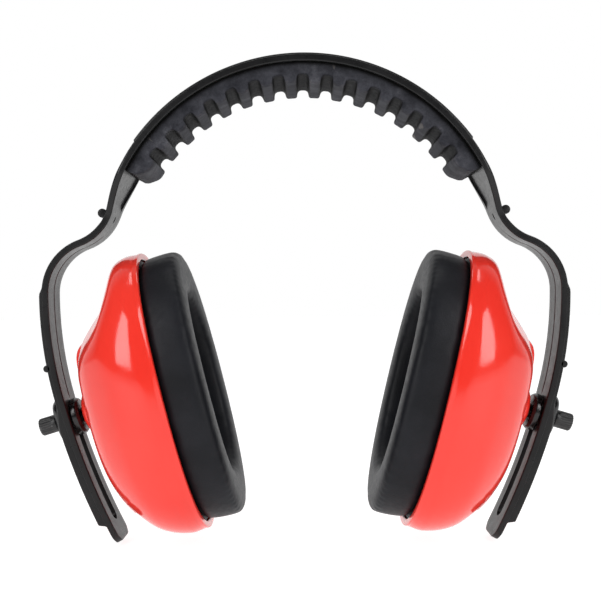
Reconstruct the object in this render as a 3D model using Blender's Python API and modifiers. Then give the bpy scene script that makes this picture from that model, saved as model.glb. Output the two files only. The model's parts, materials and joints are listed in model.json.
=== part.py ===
"""Hearing protection earmuffs: a sprung headband with two oval cups on slotted arms.

Metres, +Z up, X across the head, Y front to back, the origin under the middle of the band.
The right half is built first. The left half shares its meshes under a mirroring empty.
"""

import math

import bmesh
import bpy
from mathutils import Matrix, Vector

MM = 0.001
GAP = 0.3 * MM  # clearance between neighbouring pieces

# Outer face of the band, followed from the top of the crown down to the arm's tip.
CROWN_RADIUS = 74.2 * MM
CROWN_ARC = 74.0  # degrees from the top to the neck
NECK_RADIUS = 17.0 * MM
NECK_ARC = 54.0
SHOULDER_RADIUS = 20.0 * MM
SHOULDER_ARC = 70.0  # brings the band back to vertical
ARM_RADIUS = 146.0 * MM
ARM_ARC = 14.5
SLOT_RADIUS = 250.0 * MM  # the slotted stretch, along which the cup slides
SLOT_ARC = 13.5

# Band sections.
CROWN_WIDTH = 30.0 * MM
CROWN_WEB = 1.6 * MM
LIP_DEPTH = 3.3 * MM  # crown lips that hold the pad's edges
LIP_WIDTH = 1.3 * MM
LIP_END = 62.5  # degrees from the top where the lips start to fade
PANEL_ARC = 54.0  # raised outer panel of the crown, each way from the top
PANEL_WIDTH = 27.0 * MM
PANEL_HEIGHT = 0.8 * MM
ARM_WIDTH = 17.0 * MM
STRIP_THICKNESS = 2.3 * MM
RAIL_WIDTH = 2.0 * MM
RAIL_INSET = 0.5 * MM
RAIL_UPPER = 1.2 * MM  # rail height above the strip, from the shoulder to the cup's stem
RAIL_LOWER = 2.6 * MM  # and from the stem to the rails' end
RAIL_FAINT = 0.2 * MM
CHANNEL_DEPTH = 0.9 * MM  # recess between the rails
RAIL_END = 7.0 * MM  # length of bare strip at the tip
NECK_SPLIT = 12.0  # degrees of neck arc above the flexing split
NECK_BAR_RADIUS = 1.65 * MM
NECK_BAR_AT = 2.0 * MM  # past the end of the crown's arc
NECK_BAR_PROUD = 1.0 * MM  # its axis above the band's outer face
STOP_BAR_RADIUS = 1.3 * MM
STOP_BAR_TILT = 10.8  # arm tilt, in degrees, where the stop bar lies

# Slot and slider, on the stem's axis. Heights are measured out from the cup's rim plane.
SLOT_WIDTH = 5.6 * MM
SLOT_ABOVE = 6.5 * MM  # slot beyond the stem's axis, up the arm
SLOT_BELOW = 41.0 * MM
STEM_TILT = 16.9  # arm tilt where the stem sits
STEM_RADIUS = 2.5 * MM
BALL_RADIUS = 4.5 * MM
BALL_HEIGHT = 26.0 * MM
STRIP_FACE = 39.4 * MM  # inner face of the arm
SLEEVE_RADIUS = 6.9 * MM
SLEEVE_START = 36.2 * MM
COLLAR_TOP = 45.8 * MM
COLLAR_LENGTH = 17.0 * MM
COLLAR_WIDTH = 11.4 * MM
KNOB_RADIUS = 3.25 * MM
KNOB_TOP = 52.6 * MM
KNOB_CAP = 1.2 * MM  # closed end of the knob
PIN_RADIUS = 1.8 * MM  # stepped-down end of the stem, inside the knob
KNOB_FLUTES = 12
FLUTE_DEPTH = 0.22 * MM
KNOB_CHAMFER = 0.6 * MM
COLLAR_CHAMFER = 1.6 * MM  # how far the collar's outer edge is domed
SLEEVE_CHAMFER = 0.4 * MM

# Cup.
CUP_TILT = 14.0  # lean of the cup's axis from level
RIM_HALF_HEIGHT = 51.2 * MM
RIM_HALF_WIDTH = 39.0 * MM
RIM_POWER = 2.3  # superellipse power of the rim's outline
CUP_DEPTH = 33.0 * MM
CUP_WALL = 2.0 * MM
BOSS_TOP = 35.1 * MM
BOSS_RADIUS = 8.0 * MM
BOSS_HOLE = 4.8 * MM
HOUSING_RADIUS = 9.0 * MM  # outside of the housing that holds the bush
HOUSING_LOW = 18.6 * MM
BUSH_RADIUS = 7.0 * MM
BUSH_TOP = 4.6 * MM  # heights from the ball's centre, positive outwards
BUSH_MOUTH = 3.4 * MM
BUSH_BOTTOM = -3.2 * MM
RETAINER_TOP = -3.8 * MM
RETAINER_BOTTOM = -7.0 * MM
RETAINER_WIDTH = 1.6 * MM
RETAINER_CLEAR = 0.25 * MM  # how far it stands clear of the housing's wall
CAVITY_LOW = 18.0 * MM  # just below the housing, so that the cut opens it
PLATE_THICKNESS = 2.0 * MM
CUSHION_THICKNESS = 13.3 * MM
EAR_HALF_HEIGHT = 33.0 * MM
EAR_HALF_WIDTH = 21.5 * MM
FOAM_BOTTOM = 6.0 * MM
FOAM_TOP = 14.0 * MM
THROUGH = 20.0 * MM  # length of the cutters that bore right through a piece
TIP_TAPER = 4.0 * MM  # length over which the arm narrows to its tip
TIP_NARROWING = 3.0 * MM
RAIL_FADE = 2.0 * MM

# Cup profile from rim to crown: share of the rim outline, share of the depth.
ROUND_PROFILE = ((1.0, 0.0), (1.012, 0.1), (1.015, 0.2), (0.99, 0.36), (0.94, 0.52), (0.868, 0.655),
                 (0.785, 0.77), (0.69, 0.862), (0.595, 0.924), (0.5, 0.965), (0.4, 0.99), (0.27, 1.0))
TOP_PROFILE = ((1.0, 0.0), (1.008, 0.1), (1.005, 0.2), (0.975, 0.31), (0.9, 0.385), (0.8, 0.455),
               (0.7, 0.57), (0.61, 0.73), (0.53, 0.87), (0.46, 0.955), (0.39, 0.99), (0.27, 1.0))

# Headband pad.
PAD_WIDTH = 26.6 * MM
PAD_THICKNESS = 7.2 * MM
NOTCH_DEPTH = 3.8 * MM
NOTCH_PITCH = 7.6  # degrees
NOTCH_COUNT = 15
NOTCH_SHARE = 0.46  # of the pitch
PAD_ARC = 62.0

CUP_SEGMENTS = 32
ROUND_STEPS = 20


# ---- small helpers ----

def new_collection(name):
    collection = bpy.data.collections.new(name)
    bpy.context.scene.collection.children.link(collection)
    return collection


def plastic(name, colour, roughness):
    material = bpy.data.materials.new(name)
    material.use_nodes = True
    shader = material.node_tree.nodes["Principled BSDF"]
    shader.inputs["Base Color"].default_value = (*colour, 1.0)
    shader.inputs["Roughness"].default_value = roughness
    shader.inputs["Metallic"].default_value = 0.0
    return material


def object_from(name, bm, collection):
    mesh = bpy.data.meshes.new(name)
    bm.to_mesh(mesh)
    bm.free()
    obj = bpy.data.objects.new(name, mesh)
    collection.objects.link(obj)
    return obj


def loft(name, loops, collection):
    """A closed body through equal loops of points, with flat ends."""
    bm = bmesh.new()
    rings = [[bm.verts.new(point) for point in loop] for loop in loops]
    for first, second in zip(rings, rings[1:]):
        for i in range(len(first)):
            j = (i + 1) % len(first)
            bm.faces.new((first[i], first[j], second[j], second[i]))
    bm.faces.new(rings[0])
    bm.faces.new(rings[-1])
    bmesh.ops.recalc_face_normals(bm, faces=bm.faces)
    return object_from(name, bm, collection)


def ring_body(name, loops, collection):
    """A closed ring through loops of points: each loop circles the hole, the last joins the first."""
    bm = bmesh.new()
    rings = [[bm.verts.new(point) for point in loop] for loop in loops]
    for first, second in zip(rings, rings[1:] + rings[:1]):
        for i in range(len(first)):
            j = (i + 1) % len(first)
            bm.faces.new((first[i], first[j], second[j], second[i]))
    bmesh.ops.recalc_face_normals(bm, faces=bm.faces)
    return object_from(name, bm, collection)


def turned(name, profile, collection, steps=ROUND_STEPS):
    """A solid of revolution about local Z. The profile runs from the top down its outer side."""
    bm = bmesh.new()
    verts = [bm.verts.new((radius, 0, height)) for radius, height in profile]
    for a, b in zip(verts, verts[1:]):
        bm.edges.new((a, b))
    if min(profile[0][0], profile[-1][0]) > 0:
        bm.edges.new((verts[-1], verts[0]))
    obj = object_from(name, bm, collection)
    screw = obj.modifiers.new("turn", "SCREW")
    screw.axis = "Z"
    screw.steps = steps
    screw.render_steps = steps
    screw.use_merge_vertices = True
    screw.merge_threshold = 0.00001
    return applied(obj)


def applied(obj):
    """Replaces the object's mesh by its evaluated one, so a mirrored twin can share it."""
    bpy.context.view_layer.update()
    graph = bpy.context.evaluated_depsgraph_get()
    mesh = bpy.data.meshes.new_from_object(obj.evaluated_get(graph))
    obj.modifiers.clear()
    obj.data = mesh
    return obj


def boolean(obj, cutter, operation):
    modifier = obj.modifiers.new(operation.lower(), "BOOLEAN")
    modifier.operation = operation
    modifier.object = cutter
    return applied(obj)


def cylinder(name, radius, length, collection, segments=16):
    bm = bmesh.new()
    bmesh.ops.create_cone(bm, cap_ends=True, segments=segments, radius1=radius, radius2=radius,
                          depth=length)
    return object_from(name, bm, collection)


ALONG_Y = Matrix.Rotation(math.pi / 2, 4, "X")  # lays a cylinder's axis front to back


def hide(obj):
    obj.hide_render = True
    obj.display_type = "WIRE"


def empty(name, matrix, parent, collection):
    obj = bpy.data.objects.new(name, None)
    collection.objects.link(obj)
    obj.parent = parent
    obj.matrix_local = matrix
    return obj


# ---- the band's path ----

BAND_ARCS = ((CROWN_RADIUS, -CROWN_ARC), (NECK_RADIUS, NECK_ARC), (SHOULDER_RADIUS, -SHOULDER_ARC),
             (ARM_RADIUS, -ARM_ARC), (SLOT_RADIUS, -SLOT_ARC))  # radius, turn in degrees


class Path:
    """Outer face of the right half of the band in the XZ plane, as arcs laid end to end."""

    def __init__(self):
        self.arcs = []
        self.length = 0.0
        x, z, heading = 0.0, CROWN_RADIUS, 0.0
        for radius, turn in BAND_ARCS:
            side = math.copysign(1.0, turn)
            span = abs(math.radians(turn)) * radius
            centre = (x - math.sin(heading) * radius * side, z + math.cos(heading) * radius * side)
            self.arcs.append((self.length, span, radius, side, centre, heading))
            self.length += span
            heading += math.radians(turn)
            x = centre[0] + math.sin(heading) * radius * side
            z = centre[1] - math.cos(heading) * radius * side
        self.lift = -z - RAIL_FAINT * math.cos(heading)

    def at(self, s):
        """Position, tangent and outward normal at a distance along the path."""
        start, _, radius, side, centre, heading = [arc for arc in self.arcs if arc[0] <= s + 1e-9][-1]
        heading += side * (s - start) / radius
        x = centre[0] + math.sin(heading) * radius * side
        z = centre[1] - math.cos(heading) * radius * side
        tangent = Vector((math.cos(heading), 0, math.sin(heading)))
        normal = Vector((-math.sin(heading), 0, math.cos(heading)))
        return Vector((x, 0, z + self.lift)), tangent, normal

    def start(self, index):
        return self.arcs[index][0]

    def centre(self, index):
        x, z = self.arcs[index][4]
        return Vector((x, 0, z + self.lift))

    def tilt_at(self, tilt):
        """Distance along the path where the arm leans this many degrees inwards."""
        if tilt < ARM_ARC:
            return self.start(3) + math.radians(tilt) * ARM_RADIUS
        return self.start(4) + math.radians(tilt - ARM_ARC) * SLOT_RADIUS


PATH = Path()
SPLIT = PATH.start(1) + math.radians(NECK_SPLIT) * NECK_RADIUS
STEM_AT = PATH.tilt_at(STEM_TILT)


def smooth(value, low, high):
    t = min(max((value - low) / (high - low), 0.0), 1.0)
    return t * t * (3 - 2 * t)


def mix(a, b, t):
    return a + (b - a) * t


def spread(start, end, count):
    return [start + (end - start) * i / (count - 1) for i in range(count)]


def section(s, points):
    """Turns (across, outward) pairs into points around the path at s."""
    position, _, normal = PATH.at(s)
    return [position + normal * out + Vector((0, across, 0)) for across, out in points]


def mirrored_outline(half):
    """A closed outline from the half that lies at positive 'across'."""
    return half + [(-across, out) for across, out in reversed(half)]


# ---- headband ----

def crown_section(s):
    """U-channel open to the inside, whose lips fade towards the neck."""
    fade = smooth(s, math.radians(LIP_END) * CROWN_RADIUS, SPLIT)
    half = mix(CROWN_WIDTH, ARM_WIDTH, fade) / 2
    web = mix(CROWN_WEB, STRIP_THICKNESS, fade)
    lip = mix(LIP_DEPTH, STRIP_THICKNESS + 0.1 * MM, fade)
    inner = half - LIP_WIDTH
    return mirrored_outline([(half, 0), (half, -lip), (inner, -lip), (inner, -web)])


def headband_crown(collection, cutters):
    right = spread(0, PATH.start(1), 21) + [SPLIT]
    loops = [section(s, crown_section(s)) for s in right]
    left = [[Vector((-p.x, p.y, p.z)) for p in loop] for loop in reversed(loops[1:])]
    crown = loft("headband_crown", left + loops, collection)
    edge = math.radians(PANEL_ARC)
    half = PANEL_WIDTH / 2
    panel_loops = []
    for angle in spread(-edge, edge, 25):
        direction = Vector((math.sin(angle), 0, math.cos(angle)))
        centre = Vector((0, 0, PATH.lift))
        low = centre + direction * (CROWN_RADIUS - CROWN_WEB / 2)
        high = centre + direction * (CROWN_RADIUS + PANEL_HEIGHT)
        side = Vector((0, half, 0))
        panel_loops.append([low - side, low + side, high + side, high - side])
    panel = loft("crown_panel", panel_loops, cutters)
    boolean(crown, panel, "UNION")
    for sign in (-1, 1):
        bar = cylinder("neck_bar", NECK_BAR_RADIUS, ARM_WIDTH, cutters)
        position, _, normal = PATH.at(PATH.start(1) + NECK_BAR_AT)
        place = position + normal * NECK_BAR_PROUD
        bar.matrix_world = Matrix.Translation((sign * place.x, 0, place.z)) @ ALONG_Y
        boolean(crown, bar, "UNION")
        hide(bar)
    hide(panel)
    return crown


def headband_pad(collection):
    """Ribbed comfort pad: fifteen notches across its inner face, a thicker block at each end."""
    outer = CROWN_RADIUS - CROWN_WEB - GAP
    full = outer - PAD_THICKNESS
    notched = full + NOTCH_DEPTH
    half_notch = NOTCH_PITCH * NOTCH_SHARE / 2
    stations = [(-PAD_ARC, outer - 3.5 * MM), (-PAD_ARC + 1.6, full + 0.8 * MM), (-PAD_ARC + 3.0, full)]
    for i in range(NOTCH_COUNT):
        middle = (i - (NOTCH_COUNT - 1) / 2) * NOTCH_PITCH
        stations += [(middle - half_notch - 0.5, full), (middle - half_notch + 0.5, notched - 1.2 * MM),
                     (middle - 0.7, notched), (middle + 0.7, notched),
                     (middle + half_notch - 0.5, notched - 1.2 * MM), (middle + half_notch + 0.5, full)]
    stations += [(-angle, radius) for angle, radius in reversed(stations[:3])]
    loops = []
    for angle, radius in stations:
        direction = Vector((math.sin(math.radians(angle)), 0, math.cos(math.radians(angle))))
        side = Vector((0, PAD_WIDTH / 2, 0))
        high = Vector((0, 0, PATH.lift)) + direction * outer
        low = Vector((0, 0, PATH.lift)) + direction * radius
        loops.append([high - side, high + side, low + side, low - side])
    return loft("headband_pad", loops, collection)


# ---- arm ----

def rail_height(s):
    grown = mix(RAIL_FAINT, RAIL_UPPER, smooth(s, PATH.start(3) - 1.5 * MM, PATH.start(3) + 1.5 * MM))
    deep = mix(grown, RAIL_LOWER, smooth(s, STEM_AT - 5 * MM, STEM_AT + 3 * MM))
    end = PATH.length - RAIL_END
    return mix(deep, RAIL_FAINT, smooth(s, end - RAIL_FADE, end))


def arm_section(s):
    half = ARM_WIDTH / 2
    tip = s - (PATH.length - TIP_TAPER)
    if tip > 0:
        half -= TIP_NARROWING * (tip / TIP_TAPER) ** 2
    rail = rail_height(s)
    floor = CHANNEL_DEPTH * smooth(s, PATH.start(3), PATH.start(3) + 6 * MM)
    floor *= 1 - smooth(s, PATH.length - RAIL_END - RAIL_FADE, PATH.length - RAIL_END)
    outer = half - RAIL_INSET
    inner = outer - RAIL_WIDTH
    return mirrored_outline([(half, -STRIP_THICKNESS), (half, 0), (outer, 0), (outer, rail), (inner, rail),
                             (inner, -floor)])


def arm(collection, cutters):
    end = PATH.length - RAIL_END
    stations = spread(SPLIT + GAP, PATH.start(2), 6) + spread(PATH.start(2), PATH.start(3), 9)[1:]
    stations += [PATH.start(3) + 1.5 * MM] + spread(PATH.start(3) + 6 * MM, STEM_AT - 5 * MM, 7)
    stations += [STEM_AT - 1 * MM, STEM_AT + 3 * MM] + spread(STEM_AT + 3 * MM, end - 2 * MM, 7)[1:]
    stations += [end, PATH.length - TIP_TAPER, PATH.length - TIP_TAPER / 2, PATH.length - 0.8 * MM, PATH.length]
    piece = loft("arm_right", [section(s, arm_section(s)) for s in stations], collection)
    bar = cylinder("stop_bar", STOP_BAR_RADIUS, ARM_WIDTH - 1 * MM, cutters)
    position, _, normal = PATH.at(PATH.tilt_at(STOP_BAR_TILT))
    bar.matrix_world = Matrix.Translation(position + normal * RAIL_UPPER) @ ALONG_Y
    boolean(piece, bar, "UNION")
    hide(bar)
    slot = slot_cutter(cutters)
    boolean(piece, slot, "DIFFERENCE")
    hide(slot)
    return piece


def slot_cutter(cutters):
    """A curved stadium through the strip, with round ends."""
    reach = 4 * MM
    half = SLOT_WIDTH / 2
    low = STEM_AT - SLOT_ABOVE
    high = STEM_AT + SLOT_BELOW
    stations = []
    for i in range(5):
        step = math.radians(90 * i / 4)
        stations.append((low + half * (1 - math.cos(step)), max(half * math.sin(step), 0.3 * MM)))
    inside = spread(low + half, high - half, 9)[1:-1]
    stations += [(s, half) for s in inside]
    stations += [(low + high - s, width) for s, width in reversed(stations[:5])]
    loops = [section(s, [(width, -reach), (width, reach), (-width, reach), (-width, -reach)])
             for s, width in stations]
    return loft("slot_cutter", loops, cutters)


# ---- slider: everything on the stem that rides along the slot ----

def stem(collection):
    """Ball-ended stem. Local Z points outwards from the ball's centre."""
    end = KNOB_TOP - KNOB_CAP - BALL_HEIGHT
    step = COLLAR_TOP - BALL_HEIGHT
    profile = [(0, end), (PIN_RADIUS, end), (PIN_RADIUS, step), (STEM_RADIUS, step)]
    start = math.asin(STEM_RADIUS / BALL_RADIUS)
    for angle in spread(start, math.pi, 7):
        profile.append((max(BALL_RADIUS * math.sin(angle), 0.0), BALL_RADIUS * math.cos(angle)))
    profile[-1] = (0, -BALL_RADIUS)
    return turned("stem_right", profile, collection, 16)


def sleeve(collection):
    top = STRIP_FACE - GAP - BALL_HEIGHT
    bottom = SLEEVE_START - BALL_HEIGHT
    bore = STEM_RADIUS + GAP
    profile = [(bore, top), (SLEEVE_RADIUS, top), (SLEEVE_RADIUS, bottom + SLEEVE_CHAMFER),
               (SLEEVE_RADIUS - SLEEVE_CHAMFER, bottom), (bore, bottom)]
    return turned("sleeve_right", profile, collection)


def collar(collection, cutters):
    """Oblong slider block that runs between the rails, with a domed outer edge."""
    bottom = STRIP_FACE + STRIP_THICKNESS + GAP - BALL_HEIGHT
    top = COLLAR_TOP - BALL_HEIGHT
    dome = COLLAR_CHAMFER
    layers = ((bottom, 0.0), (top - dome, 0.0), (top - 0.375 * dome, 0.3125 * dome), (top, dome))
    loops = []
    for height, inset in layers:
        half_width = COLLAR_WIDTH / 2 - inset
        straight = (COLLAR_LENGTH - COLLAR_WIDTH) / 2
        outline = []
        for i in range(20):
            angle = 2 * math.pi * (i + 0.5) / 20
            shift = math.copysign(straight, math.cos(angle))
            x = shift + half_width * math.cos(angle)
            outline.append(Vector((x, half_width * math.sin(angle), height)))
        loops.append(outline)
    piece = loft("collar_right", loops, collection)
    bore = cylinder("collar_bore", STEM_RADIUS + GAP, THROUGH, cutters, 20)
    bore.location.z = (bottom + top) / 2
    boolean(piece, bore, "DIFFERENCE")
    hide(bore)
    return piece


def knob(collection, cutters):
    """Fluted cap on the stem's outer end."""
    bottom = COLLAR_TOP + GAP - BALL_HEIGHT
    top = KNOB_TOP - BALL_HEIGHT
    skirt = KNOB_CHAMFER / 2
    loops = []
    for height, shrink in ((bottom, skirt), (bottom + KNOB_CHAMFER, 0), (top - KNOB_CHAMFER, 0),
                           (top, KNOB_CHAMFER)):
        ring = []
        for i in range(2 * KNOB_FLUTES):
            angle = math.pi * i / KNOB_FLUTES
            radius = KNOB_RADIUS - shrink - (FLUTE_DEPTH if i % 2 else 0)
            ring.append(Vector((radius * math.cos(angle), radius * math.sin(angle), height)))
        loops.append(ring)
    piece = loft("knob_right", loops, collection)
    depth = THROUGH / 2
    bore = cylinder("knob_bore", PIN_RADIUS + GAP, depth, cutters, 20)
    bore.location.z = top - KNOB_CAP + GAP - depth / 2
    boolean(piece, bore, "DIFFERENCE")
    hide(bore)
    return piece


# ---- ball joint ----

def sphere_points(radius, low, high, count):
    """Points of a sphere's outline between two heights, from the top down."""
    return [(math.sqrt(max(radius * radius - height * height, 0)), height)
            for height in spread(high, low, count)]


def ball_bush(collection):
    """Plastic bush that wraps the stem's ball and turns in the cup's housing."""
    inner = BALL_RADIUS + GAP
    outside = sphere_points(BUSH_RADIUS, BUSH_BOTTOM, BUSH_TOP, 5)
    inside = sphere_points(inner, BUSH_BOTTOM, BUSH_MOUTH, 5)
    profile = [(inside[0][0], BUSH_TOP)] + outside + list(reversed(inside))
    return turned("ball_bush_right", profile, collection)


def bush_retainer(collection):
    """Ring pressed into the housing's mouth, which keeps the bush in."""
    outside = BUSH_RADIUS + GAP - RETAINER_CLEAR
    seat = math.sqrt((BUSH_RADIUS + GAP) ** 2 - RETAINER_TOP ** 2)
    profile = [(seat, RETAINER_TOP), (outside, RETAINER_TOP), (outside, RETAINER_BOTTOM),
               (seat - RETAINER_WIDTH, RETAINER_BOTTOM)]
    return turned("bush_retainer_right", profile, collection)


# ---- cup ----

def oval(angle, half_height, half_width):
    """A point of a superellipse. Angle 180 degrees is the cup's top, because local X points down."""
    c, s = math.cos(angle), math.sin(angle)
    x = math.copysign(abs(c) ** (2 / RIM_POWER), c)
    y = math.copysign(abs(s) ** (2 / RIM_POWER), s)
    return x * half_height, y * half_width


def oval_loop(half_height, half_width, height, segments=CUP_SEGMENTS):
    loop = []
    for i in range(segments):
        x, y = oval(2 * math.pi * i / segments, half_height, half_width)
        loop.append(Vector((x, y, height)))
    return loop


def topness(angle):
    """1 straight up from the cup's centre, fading to 0 at the sides."""
    return smooth(-math.cos(angle), 0.35, 1.0)


def cup_outline(step):
    """One loop of the cup's outer surface: the concave shoulder is at the top only."""
    loop = []
    for i in range(CUP_SEGMENTS):
        angle = 2 * math.pi * i / CUP_SEGMENTS
        share = topness(angle)
        scale = mix(ROUND_PROFILE[step][0], TOP_PROFILE[step][0], share)
        depth = mix(ROUND_PROFILE[step][1], TOP_PROFILE[step][1], share)
        x, y = oval(angle, RIM_HALF_HEIGHT, RIM_HALF_WIDTH)
        loop.append(Vector((x * scale, y * scale, depth * CUP_DEPTH)))
    return loop


def cup_shell(collection, cutters):
    bm = bmesh.new()
    rings = [[bm.verts.new(point) for point in cup_outline(step)] for step in range(len(ROUND_PROFILE))]
    for first, second in zip(rings, rings[1:]):
        for i in range(CUP_SEGMENTS):
            j = (i + 1) % CUP_SEGMENTS
            bm.faces.new((first[i], first[j], second[j], second[i]))
    bm.faces.new(rings[-1])
    bmesh.ops.recalc_face_normals(bm, faces=bm.faces)
    if sum(face.normal.z for face in bm.faces) < 0:
        bmesh.ops.reverse_faces(bm, faces=bm.faces)
    shell = object_from("cup_shell_right", bm, collection)
    wall = shell.modifiers.new("wall", "SOLIDIFY")
    wall.thickness = CUP_WALL
    wall.offset = -1
    wall.use_even_offset = True
    applied(shell)
    boss = [(0, BOSS_TOP), (BOSS_RADIUS - 2.6 * MM, BOSS_TOP), (BOSS_RADIUS - 1.6 * MM, BOSS_TOP - 0.5 * MM),
            (BOSS_RADIUS, CUP_DEPTH + 0.2 * MM), (BOSS_RADIUS + 0.8 * MM, CUP_DEPTH - 0.8 * MM),
            (HOUSING_RADIUS, CUP_DEPTH - 1.5 * MM), (HOUSING_RADIUS, HOUSING_LOW), (0, HOUSING_LOW)]
    housing = turned("boss", boss, cutters)
    boolean(shell, housing, "UNION")
    seat_radius = BUSH_RADIUS + GAP
    seat = [(0, seat_radius)] + sphere_points(seat_radius, 0, seat_radius, 8)[1:]
    seat = [(radius, height + BALL_HEIGHT) for radius, height in seat]
    cavity = turned("housing_cavity", seat + [(seat_radius, CAVITY_LOW), (0, CAVITY_LOW)], cutters)
    boolean(shell, cavity, "DIFFERENCE")
    hole = cylinder("boss_hole", BOSS_HOLE, THROUGH, cutters, 24)
    hole.location.z = BOSS_TOP
    boolean(shell, hole, "DIFFERENCE")
    for helper in (housing, cavity, hole):
        hide(helper)
    return shell


def back_plate(collection):
    """Oval ring that closes the cup and carries the cushion."""
    clear = CUP_WALL + GAP
    outer = (RIM_HALF_HEIGHT - clear, RIM_HALF_WIDTH - clear)
    hole = (EAR_HALF_HEIGHT + 1.0 * MM, EAR_HALF_WIDTH + 1.0 * MM)
    low = 0.8 * MM
    high = low + PLATE_THICKNESS
    loops = [oval_loop(*outer, low), oval_loop(*outer, high), oval_loop(*hole, high), oval_loop(*hole, low)]
    return ring_body("back_plate_right", loops, collection)


def cushion(collection):
    """Soft ear cushion: a slight waist at the rim, a rounded face, an oval ear opening."""
    profile = ((-3.2, 0.5), (-3.5, -1.5), (-2.7, -5.0), (-2.2, -9.0), (-2.7, -11.6), (-4.5, -13.0),
               (-7.0, -13.3))
    inner = ((3.4, -13.3), (1.2, -12.6), (0.2, -10.5), (0.0, -6.0), (0.4, 0.5))
    loops = [oval_loop(RIM_HALF_HEIGHT + inset * MM, RIM_HALF_WIDTH + inset * MM, height * MM)
             for inset, height in profile]
    loops += [oval_loop(EAR_HALF_HEIGHT + inset * MM, EAR_HALF_WIDTH + inset * MM, height * MM)
              for inset, height in inner]
    return ring_body("cushion_right", loops, collection)


def foam_liner(collection):
    """Absorbing foam inside the cup, clear of the ball's housing."""
    layers = ((FOAM_BOTTOM, 38.0, 26.5), (FOAM_BOTTOM + 1.5 * MM, 39.5, 28.0),
              (FOAM_TOP - 2 * MM, 38.0, 27.0), (FOAM_TOP, 34.0, 25.0))
    loops = [oval_loop(height * MM, width * MM, z, 24) for z, height, width in layers]
    return loft("foam_liner_right", loops, collection)


# ---- assembly ----

def lean(tilt):
    """Turns local Z to point outwards and down by this tilt, for the right side."""
    return Matrix.Rotation(math.radians(90 + tilt), 4, "Y")


def shade(obj):
    obj.data.shade_smooth()
    obj.data.set_sharp_from_angle(angle=math.radians(35))


def mirror_twin(obj, parent, collection):
    twin = obj.copy()
    twin.name = obj.name.replace("_right", "_left")
    collection.objects.link(twin)
    twin.parent = parent
    return twin


def main():
    for obj in list(bpy.data.objects):
        bpy.data.objects.remove(obj, do_unlink=True)
    parts = new_collection("earmuffs")
    cutters = new_collection("cutters")
    cutters.hide_render = True

    band_black = plastic("band_black", (0.012, 0.012, 0.013), 0.35)
    pad_black = plastic("pad_black", (0.03, 0.03, 0.036), 0.6)
    pivot_black = plastic("pivot_black", (0.01, 0.01, 0.01), 0.3)
    cup_red = plastic("cup_red", (0.86, 0.05, 0.03), 0.12)
    cushion_black = plastic("cushion_black", (0.025, 0.026, 0.032), 0.5)
    foam_grey = plastic("foam_grey", (0.03, 0.03, 0.03), 0.95)

    crown = headband_crown(parts, cutters)
    crown.data.materials.append(band_black)
    pad = headband_pad(parts)
    pad.data.materials.append(pad_black)

    position, _, outward = PATH.at(STEM_AT)
    strip_outer = STRIP_FACE + STRIP_THICKNESS
    ball = position + outward * (BALL_HEIGHT - strip_outer)
    pivot = PATH.at(SPLIT)[0]
    side_right = empty("side_right", Matrix.Identity(4), None, parts)
    neck_frame = empty("neck_pivot_right", Matrix.Translation(pivot), side_right, parts)
    slot_frame = empty("slot_centre_right", Matrix.Translation(PATH.centre(4) - pivot), neck_frame, parts)
    stem_place = Matrix.Translation(ball - PATH.centre(4)) @ lean(STEM_TILT)
    stem_frame = empty("stem_axis_right", stem_place, slot_frame, parts)
    cup_turn = Matrix.Rotation(math.radians(CUP_TILT - STEM_TILT), 4, "Y")
    cup_frame = empty("cup_axis_right", cup_turn, stem_frame, parts)

    arm_piece = arm(parts, cutters)
    arm_piece.data.transform(Matrix.Translation(-pivot))
    pieces = [(arm_piece, neck_frame, band_black)]
    pieces += [(piece, stem_frame, pivot_black)
               for piece in (stem(parts), sleeve(parts), collar(parts, cutters), knob(parts, cutters))]
    pieces += [(ball_bush(parts), cup_frame, pivot_black), (bush_retainer(parts), cup_frame, pivot_black)]
    to_ball = Matrix.Translation((0, 0, -BALL_HEIGHT))
    for piece, material in ((cup_shell(parts, cutters), cup_red), (back_plate(parts), pivot_black),
                            (cushion(parts), cushion_black), (foam_liner(parts), foam_grey)):
        piece.data.transform(to_ball)
        pieces.append((piece, cup_frame, material))

    side_left = empty("side_left", Matrix.Diagonal((-1, 1, 1, 1)), None, parts)
    twins = {side_right: side_left}
    for frame in (neck_frame, slot_frame, stem_frame, cup_frame):
        name = frame.name.replace("_right", "_left")
        twins[frame] = empty(name, frame.matrix_local, twins[frame.parent], parts)
    for piece, frame, material in pieces:
        piece.parent = frame
        piece.data.materials.append(material)
        mirror_twin(piece, twins[frame], parts)
    for obj in parts.objects:
        if obj.type == "MESH":
            shade(obj)


main()
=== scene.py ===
"""Hearing protection earmuffs: the visible pieces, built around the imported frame.

Metres, +Z up, X across the head, Y front to back. The right half is modelled and the left
half is its mirror image.
"""

import json
import math

import bmesh
import bpy
import numpy as np
from mathutils import Matrix, Vector, noise


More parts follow.
